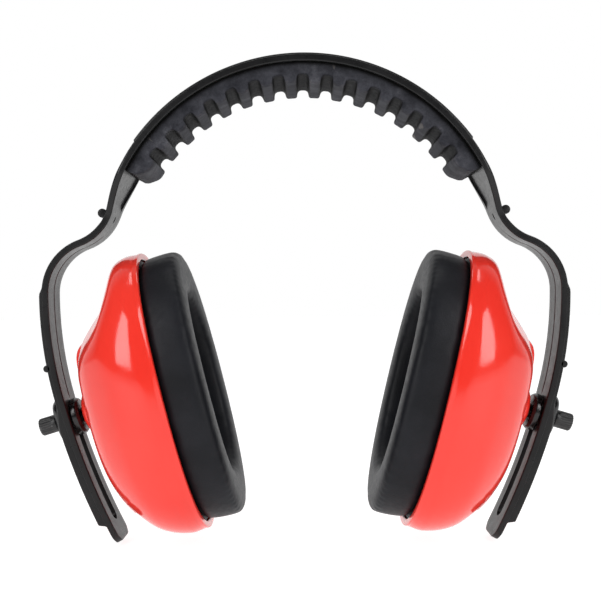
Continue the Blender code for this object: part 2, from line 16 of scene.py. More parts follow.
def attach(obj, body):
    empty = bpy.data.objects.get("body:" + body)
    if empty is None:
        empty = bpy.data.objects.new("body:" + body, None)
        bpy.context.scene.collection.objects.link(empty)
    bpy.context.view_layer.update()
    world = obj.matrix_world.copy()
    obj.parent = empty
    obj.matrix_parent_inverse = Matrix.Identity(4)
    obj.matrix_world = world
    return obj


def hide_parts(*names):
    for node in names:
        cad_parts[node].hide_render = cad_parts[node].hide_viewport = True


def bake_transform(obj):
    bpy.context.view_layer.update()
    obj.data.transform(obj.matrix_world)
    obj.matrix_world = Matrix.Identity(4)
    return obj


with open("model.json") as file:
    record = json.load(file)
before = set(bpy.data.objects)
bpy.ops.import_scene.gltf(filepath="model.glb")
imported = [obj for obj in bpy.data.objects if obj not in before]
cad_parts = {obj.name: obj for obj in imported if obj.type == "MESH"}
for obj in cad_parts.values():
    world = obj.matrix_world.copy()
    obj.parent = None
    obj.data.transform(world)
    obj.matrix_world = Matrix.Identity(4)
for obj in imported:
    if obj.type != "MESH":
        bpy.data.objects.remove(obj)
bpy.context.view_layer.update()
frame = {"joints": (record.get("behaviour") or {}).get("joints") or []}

MM = 0.001
JOINTS = {joint["name"]: joint for joint in frame["joints"]}
PIVOT = Vector(JOINTS["right_band_flex"]["pos_m"])
BALL = Vector(JOINTS["right_cup_tilt"]["pos_m"])
STEM_OUT = Vector(JOINTS["right_knob_turn"]["axis"]).normalized()
CUP_UP = Vector(JOINTS["right_cup_swivel"]["axis"]).normalized()

# Band: arcs of its outer face from the top of the crown down to the arm's tip.
CROWN_RADIUS = 74.2 * MM
CROWN_ARC = 74.0
NECK_RADIUS = 17.0 * MM
NECK_ARC = 54.0
SHOULDER_RADIUS = 20.0 * MM
SHOULDER_ARC = 70.0
ARM_RADIUS = 146.0 * MM
ARM_ARC = 14.5
SLOT_RADIUS = 250.0 * MM
SLOT_ARC = 13.5
BAND_ARCS = ((CROWN_RADIUS, -CROWN_ARC), (NECK_RADIUS, NECK_ARC), (SHOULDER_RADIUS, -SHOULDER_ARC),
             (ARM_RADIUS, -ARM_ARC), (SLOT_RADIUS, -SLOT_ARC))  # radius, turn in degrees
STATION_PITCH = 1.0 * MM

CROWN_HALF = 15.0 * MM
CROWN_WEB = 1.6 * MM
WEB_THICKENS = 3.5 * MM  # how far before the neck the web starts to thicken
WEB_THICK = 0.5 * MM  # and where it has reached the arm's thickness
LIP_DEPTH = 2.5 * MM
LIP_WIDTH = 1.3 * MM
LIP_END = 62.5  # degrees from the top
LIP_RUN_OUT = 9.0 * MM
PANEL_ARC = 54.0
PANEL_HALF = 13.5 * MM
PANEL_HEIGHT = 0.8 * MM
PANEL_STEP = 0.4 * MM  # half the length over which the panel ends
ARM_HALF = 8.5 * MM
STRIP_THICKNESS = 2.3 * MM
STRIP_EDGE = 3.5 * MM  # width of the lip where it has merged into the arm
TIP_TAPER = 4.0 * MM
TIP_NARROWING = 3.0 * MM
RAIL_OUTER = 8.0 * MM
RAIL_INNER = 6.0 * MM
RAIL_UPPER = 1.2 * MM
RAIL_LOWER = 2.6 * MM
RAIL_FAINT = 0.2 * MM
RAIL_SUNK = 0.02 * MM
RAIL_END = 7.0 * MM
RAIL_FADE = 2.2 * MM
CHANNEL_DEPTH = 0.9 * MM
CHANNEL_START = 6.0 * MM
CHANNEL_FADE = 2.0 * MM
GROOVE_HALF = 0.6 * MM
GROOVE_DEPTH = 0.18 * MM
GROOVE_START = 3.0 * MM
GROOVE_FULL = 9.0 * MM
NECK_SPLIT = 12.0
NECK_BAR_RADIUS = 1.65 * MM
NECK_BAR_AT = 2.0 * MM
NECK_BAR_PROUD = 1.0 * MM
NECK_BAR_LENGTH = 17.0 * MM
STOP_BAR_RADIUS = 1.3 * MM
STOP_BAR_TILT = 10.8
STOP_BAR_LENGTH = 16.0 * MM
NECK_HOLE = (0.75 * MM, 1.4 * MM)  # half width, half length
NECK_HOLE_AT = 2.6 * MM
NECK_HOLE_DEPTH = 1.1 * MM
STEM_TILT = 16.9
SLOT_WIDTH = 5.6 * MM
SLOT_ABOVE = 6.5 * MM
SLOT_BELOW = 41.0 * MM
THROUGH = 5.0 * MM  # reach of a cutter
BLEND_BEFORE = 12.0 * MM  # where the bend at the neck starts and ends
BLEND_AFTER = 2.0 * MM

# Pad.
PAD_OUTER = 72.3 * MM
PAD_INNER = 64.3 * MM
PAD_HALF = 13.3 * MM
NOTCH_DEPTH = 3.1 * MM
NOTCH_PITCH = 7.6
NOTCH_COUNT = 15
NOTCH_MOUTH = 2.35 * MM
NOTCH_TOP = 1.75 * MM
NOTCH_RADII = [0.9 * MM, 1.7 * MM, 1.7 * MM, 0.9 * MM]
PAD_ARC = 62.0
PAD_END = ((0.0, 4.4 * MM), (0.6 * MM, 3.0 * MM), (4.0 * MM, 0.0))  # arc from the end, depth
PAD_END_RADII = [0, 1.2 * MM, 2.2 * MM]
PAD_PITCH = 0.8 * MM
PAD_EDGE = 1.1 * MM
PAD_WOBBLE = 0.22 * MM
PAD_WOBBLE_SCALE = 110

# Cup, in its own frame: local Z outwards from the rim plane, local X down, local Y to the back.
BALL_HEIGHT = 26.0 * MM
RIM_HALF_HEIGHT = 51.2 * MM
RIM_HALF_WIDTH = 39.0 * MM
RIM_POWER = 2.3
CUP_DEPTH = 32.3 * MM
CUP_WALL = 2.0 * MM
BOSS_TOP = 35.1 * MM
BOSS_RADIUS = 8.0 * MM
BOSS_HOLE = 4.8 * MM
BOSS_FOOT = 11.5 * MM
BUSH_SEAT = 7.3 * MM
HOUSING_RADIUS = 9.0 * MM
HOUSING_LOW = 18.6 * MM
ROUND_PROFILE = ((1.0, 0.0), (1.012, 0.1), (1.015, 0.2), (0.99, 0.36), (0.94, 0.52), (0.868, 0.655),
                 (0.785, 0.77), (0.69, 0.862), (0.595, 0.924), (0.5, 0.965), (0.4, 0.99), (0.27, 1.0))
TOP_PROFILE = ((1.0, 0.0), (1.008, 0.1), (1.005, 0.2), (0.975, 0.31), (0.9, 0.385), (0.8, 0.455),
               (0.7, 0.57), (0.61, 0.73), (0.53, 0.87), (0.46, 0.955), (0.39, 0.99), (0.27, 1.0))
STRIPE_HALF = 7.6 * MM  # raised stripe down the cup's outer side
STRIPE_LOW = 0.6 * MM  # its height at its ends
STRIPE_HIGH = 2.3 * MM  # and beside the boss
STRIPE_TOP = 8.0  # profile step where it starts above the boss
STRIPE_BOTTOM = 5.9  # and where it ends on the lower belly
STRIPE_SIDE_FADE = (3.4, 6.0)  # profile steps over which the skin starts to fall away from it
STRIPE_TOP_FADE = (6.2, 8.8)
STRIPE_DEEPENS = (7.8, 10.8)
STRIPE_RAMP = 9  # rows over which its upper end rises
STRIPE_EDGE = 0.45 * MM
STRIPE_PROUD = 0.05 * MM
STRIPE_ROOT = 0.8 * MM
TOPNESS_START = 0.35
RIM_LIP = ((2.0, 0.35), (1.75, 0.05), (1.2, -0.05), (0.3, -0.05), (-0.35, 0.1), (-0.45, 0.5),
           (-0.2, 1.2))  # inset, height in millimetres
CUP_SEGMENTS = 128
EAR_HALF_HEIGHT = 33.0 * MM
EAR_HALF_WIDTH = 21.5 * MM

# Cushion outline before it is blown up: inset, height in millimetres. Then how it is blown up.
CUSHION_OUTSIDE = ((-2.6, 1.4), (-2.6, 0.2), (-2.3, -1.5), (-2.1, -4.0), (-1.9, -7.0), (-1.8, -10.0),
                   (-1.8, -12.6), (-2.4, -13.7), (-6.0, -14.0))
CUSHION_INSIDE = ((2.6, -14.0), (0.6, -13.6), (-0.1, -12.0), (0.0, -7.0), (0.2, -3.0), (0.4, 1.4))
CUSHION_VOXEL = 1.8 * MM
CUSHION_PRESSURE = 4.0
CUSHION_SWELL = 0.8 * MM  # furthest that a point may move
CUSHION_HELD = -0.5 * MM  # held above this height
CUSHION_FRAMES = 20

# Foam liner, layers from its open face inwards: height, half height, half width in millimetres.
FOAM_LAYERS = ((6.0, 36.5, 25.0), (6.1, 37.6, 26.2), (6.8, 39.0, 27.4), (8.0, 39.4, 27.9),
               (11.0, 38.6, 27.4), (13.2, 36.5, 26.2), (14.0, 33.0, 24.0))
FOAM_CROWN = 1.2  # how far its middle stands out towards the ear, in millimetres
FOAM_WOBBLE = 0.5 * MM
FOAM_WOBBLE_SCALE = 160

# Slider, heights out from the rim plane.
STRIP_FACE = 39.4 * MM
SLEEVE_RADIUS = 6.9 * MM
SLEEVE_START = 36.2 * MM
COLLAR_BOTTOM = 42.0 * MM
COLLAR_TOP = 45.8 * MM
COLLAR_LENGTH = 17.0 * MM
COLLAR_WIDTH = 11.4 * MM
STEM_RADIUS = 2.5 * MM
PIN_RADIUS = 1.8 * MM
BALL_RADIUS = 4.5 * MM
KNOB_RADIUS = 3.25 * MM
KNOB_TOP = 52.6 * MM
KNOB_RIDGES = 18
KNOB_CAP = 1.2 * MM
FLUTE_DEPTH = 0.20 * MM
FLUTE_START = 1.2 * MM  # up from the knob's bottom
FLUTE_FULL = 1.8 * MM
FLUTE_RADII = (2.0 * MM, 2.8 * MM)  # where the flutes fade out on the knob's end
BUSH_RADIUS = 7.0 * MM
BUSH_TOP = 4.6 * MM  # heights from the ball's centre
BUSH_MOUTH = 2.8 * MM
BUSH_BOTTOM = -3.2 * MM
RETAINER_TOP = 3.8 * MM  # depths below the ball's centre
RETAINER_BOTTOM = 7.0 * MM
RETAINER_WIDTH = 1.6 * MM
GAP = 0.3 * MM
ROUND_STEPS = 64

# Studio.
FLOOR_DROP = 0.6 * MM
FLOOR_SIZE = 6.0
SKY_LOW = (0.10, 0.02)  # how far a direction points to the back, brightness
SKY_HIGH = (0.75, 1.0)
KEY_PLACE = (0.55, -0.65, 0.42)
KEY_SIZE = (0.30, 0.60)
KEY_POWER = 3.4
TOP_PLACE = (0, 0.05, 0.9)
TOP_SIZE = (0.6, 0.3)
TOP_POWER = 2.6
LIT_POINT = (0, 0, 0.08)
CAMERA_PLACE = (0, -0.350, 0.0861)
CAMERA_ROLL = 0.55  # degrees
CAMERA_LENS = 56.66
CAMERA_SHIFT = (-0.0073, 0.0083)


# ---- numbers ----

def smooth(value, low, high):
    t = min(max((value - low) / (high - low), 0.0), 1.0)
    return t * t * (3 - 2 * t)


def mix(a, b, t):
    return a + (b - a) * t


def spread(start, end, count):
    return [start + (end - start) * i / (count - 1) for i in range(count)]


def fillet(points, radii, steps=3, closed=True):
    """Rounds each corner of an outline of (u, v) pairs into the same number of points."""
    out = []
    count = len(points)
    for i, (point, radius) in enumerate(zip(points, radii)):
        if not closed and i in (0, count - 1):
            out.append(point)
            continue
        corner = Vector(point)
        before = Vector(points[i - 1]) - corner
        after = Vector(points[(i + 1) % count]) - corner
        reach = min(radius, 0.45 * before.length, 0.45 * after.length)
        first = corner + before.normalized() * reach if before.length > 1e-9 else corner
        last = corner + after.normalized() * reach if after.length > 1e-9 else corner
        for k in range(steps + 1):
            t = k / steps
            out.append(tuple(first * (1 - t) ** 2 + corner * 2 * t * (1 - t) + last * t * t))
    return out


# ---- meshes ----

def object_from(name, bm):
    mesh = bpy.data.meshes.new(name)
    bm.to_mesh(mesh)
    bm.free()
    obj = bpy.data.objects.new(name, mesh)
    bpy.context.scene.collection.objects.link(obj)
    return obj


def skin(name, loops, ring=False):
    """A closed surface through equal loops of points: capped at both ends, or a ring."""
    bm = bmesh.new()
    rings = [[bm.verts.new(point) for point in loop] for loop in loops]
    for first, second in zip(rings, rings[1:] + (rings[:1] if ring else [])):
        for i in range(len(first)):
            j = (i + 1) % len(first)
            bm.faces.new((first[i], first[j], second[j], second[i]))
    if not ring:
        bm.faces.new(rings[0])
        bm.faces.new(rings[-1])
    bmesh.ops.recalc_face_normals(bm, faces=bm.faces)
    return object_from(name, bm)


def turned(name, profile, edge, steps=ROUND_STEPS):
    """A solid of revolution about local Z from (radius, height) corners, its edges rounded."""
    closed = min(profile[0][0], profile[-1][0]) > 0
    points = fillet(profile, [edge] * len(profile), 3, closed)
    loops = []
    for i in range(steps):
        turn = Matrix.Rotation(2 * math.pi * i / steps, 3, "Z")
        loops.append([turn @ Vector((radius, 0, height)) for radius, height in points])
    bm = bmesh.new()
    rings = [[bm.verts.new(point) for point in loop] for loop in loops]
    for first, second in zip(rings, rings[1:] + rings[:1]):
        for i in range(len(first) - (0 if closed else 1)):
            j = (i + 1) % len(first)
            bm.faces.new((first[i], first[j], second[j], second[i]))
    bmesh.ops.remove_doubles(bm, verts=bm.verts, dist=0.005 * MM)
    bmesh.ops.recalc_face_normals(bm, faces=bm.faces)
    return object_from(name, bm)


def apply_modifiers(obj):
    bpy.context.view_layer.update()
    graph = bpy.context.evaluated_depsgraph_get()
    mesh = bpy.data.meshes.new_from_object(obj.evaluated_get(graph))
    obj.modifiers.clear()
    obj.data = mesh


def boolean(obj, cutter, operation):
    modifier = obj.modifiers.new("cut", "BOOLEAN")
    modifier.operation = operation
    modifier.object = cutter
    modifier.solver = "EXACT"
    apply_modifiers(obj)
    bpy.data.objects.remove(cutter)


def shade(obj, angle=40, weighted=True):
    obj.data.shade_smooth()
    obj.data.set_sharp_from_angle(angle=math.radians(angle))
    if weighted:
        modifier = obj.modifiers.new("normals", "WEIGHTED_NORMAL")
        modifier.keep_sharp = True
    return obj


def mirrored(obj, name):
    """The left twin of a right-hand piece."""
    bm = bmesh.new()
    bm.from_mesh(obj.data)
    bmesh.ops.scale(bm, vec=(-1, 1, 1), verts=bm.verts)
    bmesh.ops.reverse_faces(bm, faces=bm.faces)
    twin = object_from(name, bm)
    for material in obj.data.materials:
        twin.data.materials.append(material)
    for modifier in obj.modifiers:  # weighted normals, the only kind left on a finished piece
        twin.modifiers.new(modifier.name, modifier.type).keep_sharp = modifier.keep_sharp
    return twin


# ---- materials ----

class Nodes:
    """Short calls for building one material's node tree around its Principled shader."""

    def __init__(self, name):
        self.material = bpy.data.materials.new(name)
        self.material.use_nodes = True
        self.tree = self.material.node_tree
        self.shader = self.tree.nodes["Principled BSDF"]
        self.place = self.tree.nodes.new("ShaderNodeTexCoord").outputs["Object"]
        self.bumped = None

    def link(self, output, socket):
        self.tree.links.new(output, socket)

    def noise(self, scale, detail, rough=0.5):
        node = self.tree.nodes.new("ShaderNodeTexNoise")
        node.inputs["Scale"].default_value = scale
        node.inputs["Detail"].default_value = detail
        node.inputs["Roughness"].default_value = rough
        self.link(self.place, node.inputs["Vector"])
        return node.outputs["Fac"]

    def cells(self, scale, feature="F1"):
        node = self.tree.nodes.new("ShaderNodeTexVoronoi")
        node.feature = feature
        node.inputs["Scale"].default_value = scale
        self.link(self.place, node.inputs["Vector"])
        return node.outputs["Distance"]

    def ranged(self, value, low, high, start=0.3, end=0.7):
        node = self.tree.nodes.new("ShaderNodeMapRange")
        node.inputs["From Min"].default_value = start
        node.inputs["From Max"].default_value = end
        node.inputs["To Min"].default_value = low
        node.inputs["To Max"].default_value = high
        self.link(value, node.inputs["Value"])
        return node.outputs["Result"]

    def colours(self, value, first, second):
        node = self.tree.nodes.new("ShaderNodeMix")
        node.data_type = "RGBA"
        node.inputs["A"].default_value = (*first, 1)
        node.inputs["B"].default_value = (*second, 1)
        self.link(value, node.inputs["Factor"])
        return node.outputs["Result"]

    def tinted(self, colour, value, second):
        """A colour output moved towards a second colour by a value."""
        node = self.tree.nodes.new("ShaderNodeMix")
        node.data_type = "RGBA"
        node.inputs["B"].default_value = (*second, 1)
        self.link(colour, node.inputs["A"])
        self.link(value, node.inputs["Factor"])
        return node.outputs["Result"]

    def edges(self, low, high):
        """How convex the surface is, from the shader's pointiness; the mask of a painted highlight along
        convex edges.
        """
        node = self.tree.nodes.new("ShaderNodeNewGeometry")
        return self.ranged(node.outputs["Pointiness"], 0.0, 1.0, low, high)

    def hollow_shade(self, distance):
        """1 where other surfaces crowd in within a distance, 0 in the open: the mask of painted shade in
        hollows.
        """
        node = self.tree.nodes.new("ShaderNodeAmbientOcclusion")
        node.samples = 8
        node.inputs["Distance"].default_value = distance
        return self.ranged(node.outputs["AO"], 1.0, 0.0, 0.65, 1.0)

    def bump(self, value, height, strength=1.0):
        node = self.tree.nodes.new("ShaderNodeBump")
        node.inputs["Strength"].default_value = strength
        node.inputs["Distance"].default_value = height
        self.link(value, node.inputs["Height"])
        if self.bumped:
            self.link(self.bumped, node.inputs["Normal"])
        self.bumped = node.outputs["Normal"]
        self.link(self.bumped, self.shader.inputs["Normal"])

    def put(self, socket, value):
        if isinstance(value, (int, float, tuple)):
            self.shader.inputs[socket].default_value = value
        else:
            self.link(value, self.shader.inputs[socket])


def band_black():
    m = Nodes("band_black")
    cloud = m.noise(90, 4)
    base = m.colours(m.ranged(cloud, 0, 1), (0.006, 0.006, 0.0065), (0.012, 0.012, 0.0125))
    m.put("Base Color", base)
    m.put("Roughness", m.ranged(m.noise(420, 5, 0.6), 0.26, 0.36))
    m.put("Specular IOR Level", 0.28)
    m.bump(m.noise(2600, 2), 0.004 * MM)
    m.bump(m.noise(60, 2), 0.12 * MM, 0.25)
    return m.material


def pivot_black():
    m = Nodes("pivot_black")
    cloud = m.noise(200, 4)
    base = m.colours(m.ranged(cloud, 0, 1), (0.004, 0.004, 0.0045), (0.009, 0.009, 0.0095))
    # Lighter on convex edges: a painted highlight along the edges.
    m.put("Base Color", m.tinted(base, m.edges(0.53, 0.62), (0.05, 0.05, 0.05)))
    m.put("Roughness", m.ranged(m.noise(900, 4), 0.16, 0.30))
    m.put("Specular IOR Level", 0.5)
    m.bump(m.noise(3000, 2), 0.008 * MM)
    return m.material


def knob_black():
    m = Nodes("knob_black")
    cloud = m.noise(300, 4)
    base = m.colours(m.ranged(cloud, 0, 1), (0.007, 0.007, 0.0075), (0.014, 0.014, 0.0145))
    # Lighter on convex edges and ridges: a painted highlight along the edges.
    m.put("Base Color", m.tinted(base, m.edges(0.53, 0.62), (0.08, 0.08, 0.08)))
    m.put("Roughness", m.ranged(m.noise(1500, 4), 0.32, 0.46))
    m.bump(m.noise(4000, 2), 0.015 * MM)
    return m.material


def plate_black():
    m = Nodes("plate_black")
    base = m.colours(m.ranged(m.noise(150, 4), 0, 1), (0.018, 0.018, 0.018), (0.032, 0.032, 0.033))
    m.put("Base Color", base)
    m.put("Roughness", m.ranged(m.noise(700, 4), 0.5, 0.65))
    m.bump(m.noise(2200, 3), 0.03 * MM)
    return m.material


def pad_black():
    m = Nodes("pad_black")
    mottle = m.noise(150, 7, 0.7)
    base = m.colours(m.ranged(mottle, 0, 1, 0.35, 0.68), (0.016, 0.0165, 0.021), (0.060, 0.061, 0.072))
    smudge = m.ranged(m.noise(75, 5, 0.75), 0.0, 0.55, 0.56, 0.72)
    smudged = m.tinted(base, smudge, (0.11, 0.11, 0.12))
    # Lighter on the rims of the ribs: a painted highlight along convex edges.
    highlighted = m.tinted(smudged, m.edges(0.53, 0.60), (0.10, 0.095, 0.095))
    # Near black where surfaces crowd in, in the notches and under the ribs: painted shade.
    m.put("Base Color", m.tinted(highlighted, m.hollow_shade(7 * MM), (0.0015, 0.0015, 0.0015)))
    m.put("Roughness", m.ranged(m.noise(600, 5), 0.58, 0.74))
    m.put("Specular IOR Level", 0.08)
    m.bump(m.cells(1500, "SMOOTH_F1"), 0.10 * MM, 0.6)
    m.bump(m.noise(330, 5, 0.6), 0.30 * MM, 0.45)
    return m.material


def cushion_black():
    m = Nodes("cushion_black")
    cloud = m.noise(70, 4)
    base = m.colours(m.ranged(cloud, 0, 1), (0.006, 0.0065, 0.0085), (0.012, 0.0125, 0.016))
    m.put("Base Color", base)
    m.put("Roughness", m.ranged(m.noise(500, 5, 0.6), 0.42, 0.55))
    m.put("Specular IOR Level", 0.18)
    m.bump(m.cells(1900, "SMOOTH_F1"), 0.05 * MM, 0.5)
    m.bump(m.noise(2600, 3), 0.03 * MM, 0.5)
    m.bump(m.noise(45, 2), 0.5 * MM, 0.25)
    return m.material


def foam_grey():
    m = Nodes("foam_grey")
    pores = m.cells(900)
    # Darker at the pore centres, where the same pattern bumps pits in: painted shade in the pores.
    base = m.colours(m.ranged(pores, 0, 1, 0.1, 0.6), (0.008, 0.008, 0.008), (0.045, 0.045, 0.047))
    m.put("Base Color", base)
    m.put("Roughness", 0.95)
    m.bump(pores, 0.5 * MM)
    m.bump(m.noise(2400, 4), 0.2 * MM)
    return m.material


def cup_red():
    m = Nodes("cup_red")
    cloud = m.noise(28, 3)
    base = m.colours(m.ranged(cloud, 0, 1), (0.84, 0.034, 0.022), (0.90, 0.046, 0.030))
    m.put("Base Color", base)
    m.put("Roughness", m.ranged(m.noise(260, 6, 0.6), 0.09, 0.15))
    m.put("Specular IOR Level", 0.5)
    m.put("Subsurface Weight", 0.06)
    m.put("Subsurface Radius", (0.0020, 0.0006, 0.0005))
    m.put("Subsurface Scale", 1.0)
    m.bump(m.noise(110, 2), 0.06 * MM, 0.3)
    m.bump(m.noise(900, 3), 0.006 * MM, 0.5)
    return m.material


def floor_pale():
    m = Nodes("floor_pale")
    base = m.colours(m.ranged(m.noise(3, 4), 0, 1), (0.38, 0.38, 0.38), (0.42, 0.42, 0.42))
    m.put("Base Color", base)
    m.put("Roughness", m.ranged(m.noise(8, 3), 0.55, 0.7))
    m.put("Emission Color", (1, 1, 1, 1))
    m.put("Emission Strength", 0.85)
    return m.material


# ---- the band's path ----

class Path:
    """Outer face of the right half of the band in the XZ plane, as arcs laid end to end."""

    def __init__(self):
        self.arcs = []
        self.length = 0.0
        x, z, heading = 0.0, CROWN_RADIUS, 0.0
        for radius, turn in BAND_ARCS:
            side = math.copysign(1.0, turn)
            span = abs(math.radians(turn)) * radius
            centre = (x - math.sin(heading) * radius * side, z + math.cos(heading) * radius * side)
            self.arcs.append((self.length, span, radius, side, centre, heading))
            self.length += span
            heading += math.radians(turn)
            x = centre[0] + math.sin(heading) * radius * side
            z = centre[1] - math.cos(heading) * radius * side
        self.lift = 0.0
        self.lift = PIVOT.z - self.at(self.start(1) + math.radians(NECK_SPLIT) * NECK_RADIUS)[0].z

    def at(self, s):
        """Position, tangent and outward normal at a distance along the path."""
        start, _, radius, side, centre, heading = [arc for arc in self.arcs if arc[0] <= s + 1e-9][-1]
        heading += side * (s - start) / radius
        x = centre[0] + math.sin(heading) * radius * side
        z = centre[1] - math.cos(heading) * radius * side
        tangent = Vector((math.cos(heading), 0, math.sin(heading)))
        normal = Vector((-math.sin(heading), 0, math.cos(heading)))
        return Vector((x, 0, z + self.lift)), tangent, normal

    def start(self, index):
        return self.arcs[index][0]

    def tilt_at(self, tilt):
        """Distance along the path where the arm leans this many degrees inwards."""
        if tilt < ARM_ARC:
            return self.start(3) + math.radians(tilt) * ARM_RADIUS
        return self.start(4) + math.radians(tilt - ARM_ARC) * SLOT_RADIUS


PATH = Path()
SPLIT = PATH.start(1) + math.radians(NECK_SPLIT) * NECK_RADIUS
STEM_AT = PATH.tilt_at(STEM_TILT)
SIDE = Vector((0, 1, 0))


# ---- band ----

def rail_height(s):
    faint = RAIL_FAINT * smooth(s, SPLIT, SPLIT + 4 * MM)
    grown = mix(faint, RAIL_UPPER, smooth(s, PATH.start(3) - 2 * MM, PATH.start(3) + 1 * MM))
    deep = mix(grown, RAIL_LOWER, smooth(s, STEM_AT - 6 * MM, STEM_AT + 4 * MM))
    end = PATH.length - RAIL_END
    return mix(deep, RAIL_SUNK, smooth(s, end - RAIL_FADE, end))


def band_section(s):
    """The band's outline at s as (across, outward) pairs, its corners rounded."""
    narrow = smooth(s, math.radians(LIP_END) * CROWN_RADIUS, SPLIT)
    half = mix(CROWN_HALF, ARM_HALF, narrow)
    tip = max(s - (PATH.length - TIP_TAPER), 0) / TIP_TAPER
    half -= TIP_NARROWING * tip * tip
    step = math.radians(PANEL_ARC) * CROWN_RADIUS
    panel = PANEL_HEIGHT * (1 - smooth(s, step - PANEL_STEP, step + PANEL_STEP))
    floor = CHANNEL_DEPTH * smooth(s, PATH.start(3), PATH.start(3) + CHANNEL_START)
    floor *= 1 - smooth(s, PATH.length - RAIL_END - CHANNEL_FADE, PATH.length - RAIL_END)
    rail = rail_height(s)
    to_rails = smooth(s, step + 1 * MM, SPLIT)
    centre = mix(PANEL_HALF, RAIL_INNER, to_rails)
    rail_in = mix(PANEL_HALF + 0.1 * MM, RAIL_INNER, to_rails)
    rail_out = mix(PANEL_HALF + 0.5 * MM, RAIL_OUTER, to_rails)
    squeeze = min(1.0, (half - 0.3 * MM) / rail_out)
    centre, rail_in, rail_out = centre * squeeze, rail_in * squeeze, rail_out * squeeze
    neck = PATH.start(1)
    web = mix(CROWN_WEB, STRIP_THICKNESS, smooth(s, neck - WEB_THICKENS, neck - WEB_THICK))
    lip = mix(LIP_DEPTH, STRIP_THICKNESS + 0.02 * MM, smooth(s, neck - LIP_RUN_OUT, neck + 1 * MM))
    inside = half - mix(LIP_WIDTH, STRIP_EDGE, narrow)
    groove = GROOVE_DEPTH * smooth(s, SPLIT + GROOVE_START, SPLIT + GROOVE_FULL)
    groove *= 1 - smooth(s, STEM_AT - SLOT_ABOVE - 3 * MM, STEM_AT - SLOT_ABOVE)
    corner = mix(1.0 * MM, 0.4 * MM, narrow)
    half_outline = [(centre, panel - floor), (rail_in, 0.0 if floor < 0.01 * MM else -0.02 * MM),
                    (rail_in, rail), (rail_out, rail), (rail_out, 0), (half, 0), (half, -lip),
                    (inside, -lip), (inside - 0.1 * MM, -web), (GROOVE_HALF, -web),
                    (0.25 * GROOVE_HALF, -web + groove)]
    radii = [0.3 * MM, 0.15 * MM, 0.35 * MM, 0.4 * MM, 0.15 * MM, corner, 0.5 * MM, 0.3 * MM,
             0.5 * MM, 0.4 * MM, 0.2 * MM]
    outline = half_outline + [(-across, out) for across, out in reversed(half_outline)]
    return fillet(outline, radii + radii[::-1])


def placed(s, outline):
    position, _, normal = PATH.at(s)
    return [position + normal * out + SIDE * across for across, out in outline]


def cross_bar(name, radius, length, centre):
    """A round bar across the band."""
    half = length / 2
    bar = turned(name, [(0, half), (radius, half), (radius, -half), (0, -half)], 0.3 * MM, 32)
    bar.data.transform(Matrix.Translation(centre) @ Matrix.Rotation(math.pi / 2, 4, "X"))
    return bar


def slot_cutter():
    """A curved stadium through the arm, with round ends."""
    half = SLOT_WIDTH / 2
    low = STEM_AT - SLOT_ABOVE
    high = STEM_AT + SLOT_BELOW
    stations = []
    for turn in spread(0, math.pi / 2, 10):
        stations.append((low + half * (1 - math.cos(turn)), max(half * math.sin(turn), 0.15 * MM)))
    stations += [(s, half) for s in spread(low + half, high - half, 30)[1:-1]]
    stations += [(low + high - s, width) for s, width in reversed(stations[:10])]
    loops = []
    for s, width in stations:
        loops.append(placed(s, [(width, -THROUGH), (width, THROUGH), (-width, THROUGH), (-width, -THROUGH)]))
    return skin("slot_cutter", loops)


def neck_hole_cutter():
    """Small blind oval in the neck's inner face."""
    half_width, half_length = NECK_HOLE
    position, tangent, normal = PATH.at(PATH.start(1) + NECK_HOLE_AT)
    loops = []
    for depth in (-STRIP_THICKNESS - 2 * MM, -STRIP_THICKNESS + NECK_HOLE_DEPTH):
        loops.append([position + normal * depth + tangent * half_length * math.cos(angle)
                      + SIDE * half_width * math.sin(angle)
                      for angle in spread(0, 2 * math.pi, 25)[:-1]])
    return skin("neck_hole_cutter", loops)


def band():
    """One half of the moulded band: crown, neck and slotted arm in one piece."""
    count = int(PATH.length / STATION_PITCH)
    stations = spread(0, PATH.length, count)
    step = math.radians(PANEL_ARC) * CROWN_RADIUS
    stations += [step - PANEL_STEP, step, step + PANEL_STEP, PATH.length - 0.3 * MM]
    stations += spread(PATH.length - RAIL_END - RAIL_FADE, PATH.length - RAIL_END, 6)
    stations = sorted(stations)
    kept = [stations[0]]
    for s in stations[1:]:
        if s - kept[-1] > 0.15 * MM:
            kept.append(s)
    loops = [placed(s, band_section(s)) for s in kept]
    tip = [(0.93 * across, mix(out, -STRIP_THICKNESS / 2, 0.18)) for across, out in band_section(kept[-1])]
    loops[-1] = placed(kept[-1], tip)
    piece = skin("band_right", loops)
    bars = ((PATH.start(1) + NECK_BAR_AT, NECK_BAR_RADIUS, NECK_BAR_PROUD, NECK_BAR_LENGTH),
            (PATH.tilt_at(STOP_BAR_TILT), STOP_BAR_RADIUS, RAIL_UPPER, STOP_BAR_LENGTH))
    for s, radius, proud, length in bars:
        position, _, normal = PATH.at(s)
        boolean(piece, cross_bar("bar", radius, length, position + normal * proud), "UNION")
    boolean(piece, slot_cutter(), "DIFFERENCE")
    boolean(piece, neck_hole_cutter(), "DIFFERENCE")
    piece.data.materials.clear()
    piece.data.materials.append(BAND)
    return shade(piece)


# ---- pad ----

